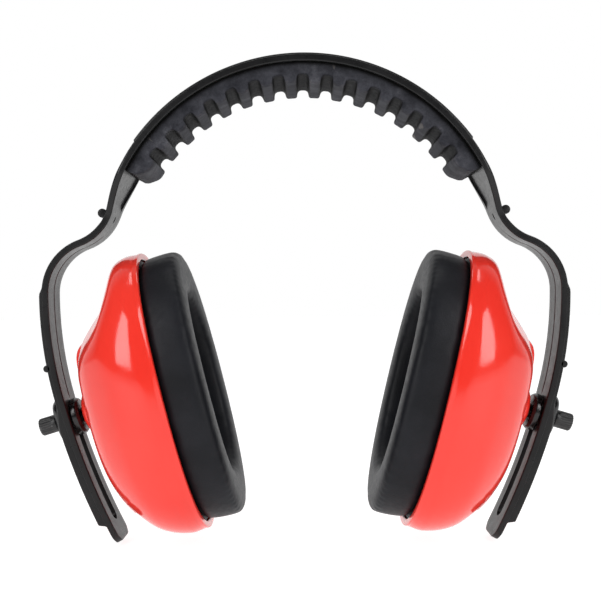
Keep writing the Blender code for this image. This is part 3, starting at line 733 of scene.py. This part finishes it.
def pad_profile():
    """The pad's inner outline as (arc length at the inner radius, depth outwards from it)."""
    pitch = math.radians(NOTCH_PITCH) * PAD_INNER
    end = math.radians(PAD_ARC) * PAD_INNER
    points = [(-end + arc, depth) for arc, depth in PAD_END]
    radii = list(PAD_END_RADII)
    for i in range(NOTCH_COUNT):
        middle = (i - (NOTCH_COUNT - 1) / 2) * pitch
        points += [(middle - NOTCH_MOUTH, 0), (middle - NOTCH_TOP, NOTCH_DEPTH),
                   (middle + NOTCH_TOP, NOTCH_DEPTH), (middle + NOTCH_MOUTH, 0)]
        radii += NOTCH_RADII
    points += [(-arc, depth) for arc, depth in reversed(points[:3])]
    radii += PAD_END_RADII[::-1]
    rounded = fillet(points, radii, 5, closed=False)
    out = [rounded[0]]
    for point in rounded[1:]:
        gap = point[0] - out[-1][0]
        extra = int(gap / PAD_PITCH)
        out += [(mix(out[-1][0], point[0], k / (extra + 1)), mix(out[-1][1], point[1], k / (extra + 1)))
                for k in range(1, extra + 1)]
        out.append(point)
    return out


def soft_wobble(point, scale, height):
    """Low, even unevenness of a soft moulding."""
    return noise.noise(point * scale) * height


def pad():
    loops = []
    centre = Vector((0, 0, PATH.lift))
    for arc, depth in pad_profile():
        angle = arc / PAD_INNER
        direction = Vector((math.sin(angle), 0, math.cos(angle)))
        low = PAD_INNER + depth
        outline = [(PAD_HALF, PAD_OUTER), (-PAD_HALF, PAD_OUTER), (-PAD_HALF, mix(low, PAD_OUTER, 0.5)),
                   (-PAD_HALF, low), (-PAD_HALF / 2, low), (0, low), (PAD_HALF / 2, low),
                   (PAD_HALF, low), (PAD_HALF, mix(low, PAD_OUTER, 0.5))]
        rounded = fillet(outline, [0.3 * MM] * 2 + [PAD_EDGE] * 7, 4)
        loop = []
        for across, radius in rounded:
            point = centre + direction * radius + SIDE * across
            wobble = soft_wobble(point, PAD_WOBBLE_SCALE, PAD_WOBBLE)
            free = smooth(PAD_OUTER - radius, 2.0 * MM, 4.0 * MM)
            loop.append(point - direction * wobble * free + SIDE * math.copysign(wobble, across) * free)
        loops.append(loop)
    piece = skin("headband_pad_foam", loops)
    piece.data.materials.append(PAD)
    return shade(piece, 60, False)


# ---- cup ----

def spline(points, t):
    """Catmull-Rom value of a list of pairs at a fractional step."""
    last = len(points) - 1
    i = min(int(t), last - 1)
    f = t - i
    p0 = Vector(points[max(i - 1, 0)])
    p1, p2 = Vector(points[i]), Vector(points[i + 1])
    p3 = Vector(points[min(i + 2, last)])
    return 0.5 * ((2 * p1) + (p2 - p0) * f + (2 * p0 - 5 * p1 + 4 * p2 - p3) * f * f
                  + (3 * p1 - p0 - 3 * p2 + p3) * f ** 3)


def topness(angle):
    """1 straight up from the cup's centre, fading to 0 at the sides."""
    return smooth(-math.cos(angle), TOPNESS_START, 1.0)


def oval(angle, half_height, half_width):
    """A point of a superellipse. Angle 180 degrees is the cup's top, because local X points down."""
    c, s = math.cos(angle), math.sin(angle)
    x = math.copysign(abs(c) ** (2 / RIM_POWER), c)
    y = math.copysign(abs(s) ** (2 / RIM_POWER), s)
    return x * half_height, y * half_width


def cup_point(t, angle):
    share = topness(angle)
    scale, depth = spline(ROUND_PROFILE, t).lerp(spline(TOP_PROFILE, t), share)
    x, y = oval(angle, RIM_HALF_HEIGHT, RIM_HALF_WIDTH)
    return Vector((x * scale, y * scale, depth * CUP_DEPTH))


def cup_normal(t, angle):
    dt, da = 0.04, 0.004
    t = min(max(t, dt), len(ROUND_PROFILE) - 1 - dt)
    along = cup_point(t + dt, angle) - cup_point(t - dt, angle)
    around = cup_point(t, angle + da) - cup_point(t, angle - da)
    return around.cross(along).normalized()


def sink(t, angle):
    """How far the cup's skin lies below the raised stripe's level."""
    faded = mix(smooth(t, *STRIPE_SIDE_FADE), smooth(t, *STRIPE_TOP_FADE), topness(angle))
    return STRIPE_LOW * faded + (STRIPE_HIGH - STRIPE_LOW) * smooth(t, *STRIPE_DEEPENS)


def circle(radius, height, steps=CUP_SEGMENTS):
    turns = [2 * math.pi * i / steps for i in range(steps)]
    return [Vector((radius * math.cos(a), radius * math.sin(a), height)) for a in turns]


def oval_loop(half_height, half_width, height):
    return [Vector((*oval(a, half_height, half_width), height)) for a in ANGLES]


ANGLES = [2 * math.pi * i / CUP_SEGMENTS for i in range(CUP_SEGMENTS)]


def cup_frame(height, up, out):
    """Local Z along out, local X down the arm, the origin this height before the ball."""
    down = -up
    basis = Matrix((down, SIDE, out)).transposed().to_4x4()
    return Matrix.Translation(BALL - out * height) @ basis


CUP_PLACE = cup_frame(BALL_HEIGHT, CUP_UP, CUP_UP.cross(SIDE) * -1)
STEM_PLACE = cup_frame(BALL_HEIGHT, SIDE.cross(STEM_OUT) * -1, STEM_OUT)


def cup_shell():
    steps = spread(0, len(ROUND_PROFILE) - 1, 67)
    outer = []
    inner = []
    for t in steps:
        outer.append([cup_point(t, a) - cup_normal(t, a) * sink(t, a) for a in ANGLES])
        inner.append([cup_point(t, a) - cup_normal(t, a) * (sink(t, a) + CUP_WALL) for a in ANGLES])
    rim = []
    for inset, height in RIM_LIP:
        rim.append(oval_loop(RIM_HALF_HEIGHT - inset * MM, RIM_HALF_WIDTH - inset * MM, height * MM))
    level = CUP_DEPTH - STRIPE_HIGH
    boss = fillet([(BOSS_FOOT, level), (BOSS_RADIUS + 0.5 * MM, level), (BOSS_RADIUS, level + 1.0 * MM),
                   (BOSS_RADIUS - 0.5 * MM, BOSS_TOP - 1.0 * MM), (BOSS_HOLE + 0.7 * MM, BOSS_TOP),
                   (BOSS_HOLE, BOSS_TOP), (BOSS_HOLE, BALL_HEIGHT + BUSH_SEAT)],
                  [0, 0.3 * MM, 0.6 * MM, 1.4 * MM, 0.8 * MM, 0.3 * MM, 0], 4, closed=False)
    seat_top = math.sqrt(BUSH_SEAT ** 2 - BOSS_HOLE ** 2)
    seat = [(BUSH_SEAT * math.cos(a), BALL_HEIGHT + BUSH_SEAT * math.sin(a))
            for a in spread(math.asin(seat_top / BUSH_SEAT), 0, 8)]
    roof = level - CUP_WALL
    inside = seat + [(BUSH_SEAT, HOUSING_LOW), (HOUSING_RADIUS, HOUSING_LOW),
                     (HOUSING_RADIUS, roof - 0.6 * MM), (HOUSING_RADIUS + 0.6 * MM, roof)]
    loops = rim + [loop for t, loop in zip(steps, outer) if t > 0.5]
    loops += [circle(radius, height) for radius, height in boss[:-1] + inside]
    loops += [loop for t, loop in reversed(list(zip(steps, inner))) if t > 0.3]
    shell = skin("cup_shell_right_visual", loops, ring=True)
    boolean(shell, stripe(), "UNION")
    above = BOSS_TOP + THROUGH
    hole = [(0, above), (BOSS_HOLE, above), (BOSS_HOLE, BALL_HEIGHT), (0, BALL_HEIGHT)]
    boolean(shell, turned("hole", hole, 0), "DIFFERENCE")
    shell.data.materials.clear()
    shell.data.materials.append(CUP)
    shell.data.transform(CUP_PLACE)
    return shade(shell, 35)


def surface_at(t, y, top):
    """The cup's point at a profile step and a distance across from its middle line."""
    angle = math.pi if top else 0.0
    for _ in range(6):
        share = topness(angle)
        scale = spline(ROUND_PROFILE, t).lerp(spline(TOP_PROFILE, t), share)[0]
        reach = min(abs(y) / (RIM_HALF_WIDTH * scale), 0.98) ** (RIM_POWER / 2)
        turn = math.copysign(math.asin(reach), y)
        angle = math.pi - turn if top else turn
    return cup_point(t, angle), cup_normal(t, angle)


def stripe():
    """Raised stripe down the cup's outer side, from the plateau's top edge to the lower belly."""
    last = len(ROUND_PROFILE) - 1
    rows = [(t, True) for t in spread(STRIPE_TOP, last, 30)]
    rows += [(t, False) for t in spread(last, STRIPE_BOTTOM, 44)]
    across = spread(-STRIPE_HALF, STRIPE_HALF, 17)
    loops = []
    for index, (t, top) in enumerate(rows):
        at_end = index == len(rows) - 1
        ramp = (STRIPE_LOW + 0.25 * MM) * (1 - smooth(index, 0, STRIPE_RAMP))
        rise = STRIPE_PROUD - (STRIPE_EDGE if at_end else ramp)
        depth = sink(t, math.pi if top else 0.0) + STRIPE_ROOT
        upper = []
        lower = []
        for y in across:
            point, normal = surface_at(t, y * (0.99 if at_end else 1.0), top)
            upper.append(point + normal * rise)
            lower.append(point - normal * depth)
        sides = []
        for y, sign in ((across[0], -1), (across[-1], 1)):
            point, normal = surface_at(t, y, top)
            arc = []
            for turn in spread(0, 0.5 * math.pi, 5)[1:]:
                arc.append(point + normal * (rise - STRIPE_EDGE * (1 - math.cos(turn)))
                           + SIDE * sign * STRIPE_EDGE * math.sin(turn))
            sides.append(arc)
        low_left = lower[0] - SIDE * STRIPE_EDGE
        low_right = lower[-1] + SIDE * STRIPE_EDGE
        loops.append(sides[0][::-1] + upper + sides[1] + [low_right] + lower[-2:0:-1] + [low_left])
    return skin("stripe", loops)


# ---- cushion, plate and foam ----

def cushion_rest():
    """The cushion before it is blown up: a waist at the rim, a rounded face, an oval ear opening."""
    loops = []
    for half_height, half_width, outline in ((RIM_HALF_HEIGHT, RIM_HALF_WIDTH, CUSHION_OUTSIDE),
                                             (EAR_HALF_HEIGHT, EAR_HALF_WIDTH, CUSHION_INSIDE)):
        for inset, height in fillet(outline, [1.0] * len(outline), 3, closed=False):
            loops.append(oval_loop(half_height + inset * MM, half_width + inset * MM, height * MM))
    return skin("cushion_right_visual", loops, ring=True)


def points_of(obj):
    count = len(obj.data.vertices)
    values = np.empty(count * 3, np.float32)
    obj.data.vertices.foreach_get("co", values)
    return values.reshape(-1, 3).astype(float)


def inflate(obj):
    """Blows the skin up by cloth simulation, then limits how far each point has moved."""
    group = obj.vertex_groups.new(name="held")
    rest = points_of(obj)
    group.add([int(i) for i in np.nonzero(rest[:, 2] > CUSHION_HELD)[0]], 1.0, "REPLACE")
    cloth = obj.modifiers.new("cloth", "CLOTH")
    settings = cloth.settings
    settings.quality = 6
    settings.mass = 0.3
    settings.tension_stiffness = 25
    settings.compression_stiffness = 25
    settings.shear_stiffness = 12
    settings.bending_stiffness = 4
    settings.use_pressure = True
    settings.uniform_pressure_force = CUSHION_PRESSURE
    settings.effector_weights.gravity = 0
    settings.vertex_group_mass = "held"
    cloth.point_cache.frame_start = 1
    cloth.point_cache.frame_end = CUSHION_FRAMES
    for number in range(1, CUSHION_FRAMES + 1):
        bpy.context.scene.frame_set(number)
    apply_modifiers(obj)
    bpy.context.scene.frame_set(1)
    moved = points_of(obj)
    shift = moved - rest
    length = np.linalg.norm(shift, axis=1, keepdims=True)
    limited = rest + shift * np.minimum(1.0, CUSHION_SWELL / np.maximum(length, 1e-9))
    obj.data.vertices.foreach_set("co", limited.astype(np.float32).ravel())
    obj.data.update()


def relax(obj, rounds):
    bm = bmesh.new()
    bm.from_mesh(obj.data)
    for _ in range(rounds):
        bmesh.ops.smooth_vert(bm, verts=bm.verts, factor=0.5, use_axis_x=True, use_axis_y=True,
                              use_axis_z=True)
    bm.to_mesh(obj.data)
    bm.free()


def cushion():
    piece = cushion_rest()
    remesh = piece.modifiers.new("voxels", "REMESH")
    remesh.mode = "VOXEL"
    remesh.voxel_size = CUSHION_VOXEL
    apply_modifiers(piece)
    relax(piece, 1)
    inflate(piece)
    relax(piece, 4)
    piece.modifiers.new("fine", "SUBSURF").levels = 2
    apply_modifiers(piece)
    piece.data.materials.clear()
    piece.data.materials.append(CUSHION)
    piece.data.transform(CUP_PLACE)
    return shade(piece, 60, False)


def back_plate():
    """Flat oval ring across the cup's mouth, bevelled on the side that faces into the cup."""
    clear = CUP_WALL + GAP
    room = 1.0 * MM
    loops = []
    for inset, height in ((0, 1.1), (0, 2.5), (0.3, 2.8)):
        loops.append(oval_loop(RIM_HALF_HEIGHT - clear - inset * MM, RIM_HALF_WIDTH - clear - inset * MM,
                               height * MM))
    for grown, height in ((0.3, 2.8), (0, 2.5), (0, 1.1)):
        loops.append(oval_loop(EAR_HALF_HEIGHT + room + grown * MM, EAR_HALF_WIDTH + room + grown * MM,
                               height * MM))
    plate = skin("back_plate_right_visual", loops, ring=True)
    plate.data.materials.append(PLATE)
    plate.data.transform(CUP_PLACE)
    return shade(plate, 35)


def foam_liner():
    """Soft slab inside the cup, its open face a little crowned."""
    face, face_high, face_wide = FOAM_LAYERS[0]
    loops = []
    for share in (0.1, 0.3, 0.55, 0.8):
        loops.append(oval_loop(face_high * share * MM, face_wide * share * MM,
                               (face - FOAM_CROWN * (1 - share)) * MM))
    for height, high, wide in FOAM_LAYERS:
        loops.append(oval_loop(high * MM, wide * MM, height * MM))
    piece = skin("foam_liner_right_visual", loops)
    for vert in piece.data.vertices:
        vert.co.z += soft_wobble(vert.co, FOAM_WOBBLE_SCALE, FOAM_WOBBLE)
    piece.data.update()
    piece.data.materials.append(FOAM)
    piece.data.transform(CUP_PLACE)
    return shade(piece, 60, False)


# ---- slider and ball joint ----

def finished(piece, material, place, angle=40):
    piece.data.materials.clear()
    piece.data.materials.append(material)
    piece.data.transform(place)
    return shade(piece, angle)


def stem():
    end = KNOB_TOP - 1.5 * MM
    profile = [(0, end), (PIN_RADIUS, end), (PIN_RADIUS, COLLAR_TOP), (STEM_RADIUS, COLLAR_TOP)]
    for angle in spread(math.asin(STEM_RADIUS / BALL_RADIUS), math.pi, 14):
        profile.append((BALL_RADIUS * math.sin(angle), BALL_HEIGHT + BALL_RADIUS * math.cos(angle)))
    profile[-1] = (0, BALL_HEIGHT - BALL_RADIUS)
    return finished(turned("stem_right_visual", profile, 0.15 * MM), PIVOT_BLACK, STEM_PLACE)


def sleeve():
    top = STRIP_FACE - GAP
    bore = STEM_RADIUS + GAP
    profile = [(bore, top), (SLEEVE_RADIUS, top), (SLEEVE_RADIUS, SLEEVE_START + 1.0 * MM),
               (SLEEVE_RADIUS - 0.7 * MM, SLEEVE_START), (bore, SLEEVE_START)]
    return finished(turned("sleeve_right_visual", profile, 0.35 * MM), PIVOT_BLACK, STEM_PLACE)


def collar():
    """Oblong slider block with a domed outer edge and a bore for the stem."""
    straight = (COLLAR_LENGTH - COLLAR_WIDTH) / 2
    loops = []
    bore = STEM_RADIUS + GAP
    profile = fillet([(bore, COLLAR_TOP), (COLLAR_WIDTH / 2 - 1.6 * MM, COLLAR_TOP),
                      (COLLAR_WIDTH / 2, COLLAR_TOP - 1.6 * MM), (COLLAR_WIDTH / 2, COLLAR_BOTTOM),
                      (bore, COLLAR_BOTTOM)], [0.2 * MM, 1.0 * MM, 1.0 * MM, 0.25 * MM, 0.2 * MM], 4)
    for radius, height in profile:
        stretch = straight * smooth((radius - bore) / (COLLAR_WIDTH / 2 - bore), 0.0, 0.5)
        loop = []
        for i in range(ROUND_STEPS):
            angle = 2 * math.pi * (i + 0.5) / ROUND_STEPS
            x = math.copysign(stretch, math.cos(angle)) + radius * math.cos(angle)
            loop.append(Vector((x, radius * math.sin(angle), height)))
        loops.append(loop)
    return finished(skin("collar_right_visual", loops, ring=True), PIVOT_BLACK, STEM_PLACE)


def knob():
    """Fluted cap: rounded ridges all round its outer half, a plain skirt below."""
    bottom = COLLAR_TOP + GAP
    profile = fillet([(PIN_RADIUS + GAP, bottom), (KNOB_RADIUS, bottom), (KNOB_RADIUS, KNOB_TOP),
                      (0.4 * MM, KNOB_TOP)], [0, 0.3 * MM, 0.8 * MM, 0], 4, closed=False)
    dense = []
    for first, second in zip(profile, profile[1:]):
        count = max(1, int((Vector(second) - Vector(first)).length / (0.35 * MM)))
        dense += [(mix(first[0], second[0], k / count), mix(first[1], second[1], k / count))
                  for k in range(count)]
    dense.append(profile[-1])
    steps = KNOB_RIDGES * 6
    loops = []
    for radius, height in dense:
        share = smooth(height, bottom + FLUTE_START, bottom + FLUTE_FULL) * smooth(radius, *FLUTE_RADII)
        loop = []
        for i in range(steps):
            angle = 2 * math.pi * i / steps
            wave = 0.5 - 0.5 * math.cos(angle * KNOB_RIDGES)
            local = radius - FLUTE_DEPTH * share * (1 - wave) ** 2
            loop.append(Vector((local * math.cos(angle), local * math.sin(angle), height)))
        loops.append(loop)
    bore = [circle(radius, KNOB_TOP - KNOB_CAP, steps) for radius in (0.4 * MM, PIN_RADIUS + GAP)]
    piece = skin("knob_right_visual", bore + loops)
    return finished(piece, KNOB, STEM_PLACE, 45)


def on_ball(radius, height):
    """Profile point of a sphere about the ball's centre, at a height from that centre."""
    return math.sqrt(radius ** 2 - height * height), BALL_HEIGHT + height


def ball_bush():
    profile = [on_ball(BUSH_RADIUS, height) for height in spread(BUSH_TOP, BUSH_BOTTOM, 14)]
    profile += [on_ball(BALL_RADIUS + GAP, height) for height in spread(BUSH_BOTTOM, BUSH_MOUTH, 14)]
    profile.append((profile[-1][0], BALL_HEIGHT + BUSH_TOP))
    return finished(turned("ball_bush_right_visual", profile, 0.1 * MM), PIVOT_BLACK, CUP_PLACE)


def bush_retainer():
    bottom, top = BALL_HEIGHT - RETAINER_BOTTOM, BALL_HEIGHT - RETAINER_TOP
    outside = BUSH_RADIUS + GAP - 0.25 * MM
    seat = math.sqrt((BUSH_RADIUS + GAP) ** 2 - RETAINER_TOP ** 2)
    profile = [(seat, top), (outside, top), (outside, bottom), (seat - RETAINER_WIDTH, bottom)]
    return finished(turned("bush_retainer_right_visual", profile, 0.1 * MM), PIVOT_BLACK, CUP_PLACE)


# ---- floor, light, camera ----

def area_light(name, place, size, power):
    data = bpy.data.lights.new(name, "AREA")
    data.shape = "RECTANGLE"
    data.size, data.size_y = size
    data.energy = power
    obj = bpy.data.objects.new(name, data)
    bpy.context.scene.collection.objects.link(obj)
    obj.location = place
    obj.rotation_mode = "QUATERNION"
    obj.rotation_quaternion = (Vector(LIT_POINT) - Vector(place)).to_track_quat("-Z", "Y")


def floor():
    bm = bmesh.new()
    bmesh.ops.create_grid(bm, x_segments=8, y_segments=8, size=FLOOR_SIZE)
    ground = object_from("floor", bm)
    ground.location.z = -FLOOR_DROP
    ground.data.materials.append(floor_pale())


def sky():
    """White to the camera. As light and in reflections, bright behind the object and dark in front."""
    world = bpy.data.worlds.new("studio")
    bpy.context.scene.world = world
    world.use_nodes = True
    tree = world.node_tree
    back = tree.nodes["Background"]
    back.inputs["Color"].default_value = (1, 1, 1, 1)
    ray = tree.nodes.new("ShaderNodeLightPath")
    place = tree.nodes.new("ShaderNodeTexCoord")
    split = tree.nodes.new("ShaderNodeSeparateXYZ")
    ramp = tree.nodes.new("ShaderNodeMapRange")
    for end, (share, strength) in (("Min", SKY_LOW), ("Max", SKY_HIGH)):
        ramp.inputs[f"From {end}"].default_value = share
        ramp.inputs[f"To {end}"].default_value = strength
    seen = tree.nodes.new("ShaderNodeMix")
    seen.data_type = "FLOAT"
    seen.inputs["B"].default_value = 1.0
    tree.links.new(place.outputs["Generated"], split.inputs["Vector"])
    tree.links.new(split.outputs["Y"], ramp.inputs["Value"])
    tree.links.new(ray.outputs["Is Camera Ray"], seen.inputs["Factor"])
    tree.links.new(ramp.outputs["Result"], seen.inputs["A"])
    tree.links.new(seen.outputs["Result"], back.inputs["Strength"])


def lights():
    x, y, z = KEY_PLACE
    area_light("key_left", (-x, y, z), KEY_SIZE, KEY_POWER)
    area_light("key_right", (x, y, z), KEY_SIZE, KEY_POWER)
    area_light("top", TOP_PLACE, TOP_SIZE, TOP_POWER)


def camera():
    data = bpy.data.cameras.new("camera")
    obj = bpy.data.objects.new("camera", data)
    bpy.context.scene.collection.objects.link(obj)
    obj.location = CAMERA_PLACE
    obj.rotation_euler = (math.radians(90), math.radians(CAMERA_ROLL), 0)
    data.sensor_width = 36
    data.lens = CAMERA_LENS
    data.shift_x, data.shift_y = CAMERA_SHIFT
    data.clip_start = 0.01
    bpy.context.scene.camera = obj


# ---- assembly ----

BAND = band_black()
PAD = pad_black()
PIVOT_BLACK = pivot_black()
KNOB = knob_black()
PLATE = plate_black()
CUSHION = cushion_black()
FOAM = foam_grey()
CUP = cup_red()

bpy.context.scene.view_settings.view_transform = "Standard"

# Piece maker, body without its side, nodes it stands for without their side, slot, fill of a padded one.
PIECES = ((stem, "slider", "stem", "pivot", None), (sleeve, "slider", "sleeve", "pivot", None),
          (collar, "slider", "collar", "pivot", None), (knob, "knob", "knob", "knob", None),
          (ball_bush, "bush", "ball_bush", "pivot", None),
          (bush_retainer, "cup", "bush_retainer", "pivot", None),
          (cup_shell, "cup", "cup_shell", "cup", None), (back_plate, "cup", "back_plate", "plate", None),
          (cushion, "cup", "cushion", "cushion", 0.75), (foam_liner, "cup", "foam_liner", "foam", 0.9))

for make, body, node, slot, fill in PIECES:
    right = make()
    left = mirrored(right, right.name.replace("_right", "_left"))
    for piece, side in ((right, "right"), (left, "left")):
        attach(piece, f"{side}_{body}")
        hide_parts(f"{node}_{side}")

band_right = band()
band_left = mirrored(band_right, "band_left")
flex_start = PATH.at(PATH.start(1) - BLEND_BEFORE)[0]
flex_end = PATH.at(PATH.start(2) + BLEND_AFTER)[0]
for piece, side, sign in ((band_right, "right", 1), (band_left, "left", -1)):
    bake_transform(piece)
    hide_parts("headband_crown", f"arm_{side}")

headband_pad = pad()
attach(headband_pad, "headband")
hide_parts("headband_pad")

camera()
floor()
sky()
lights()
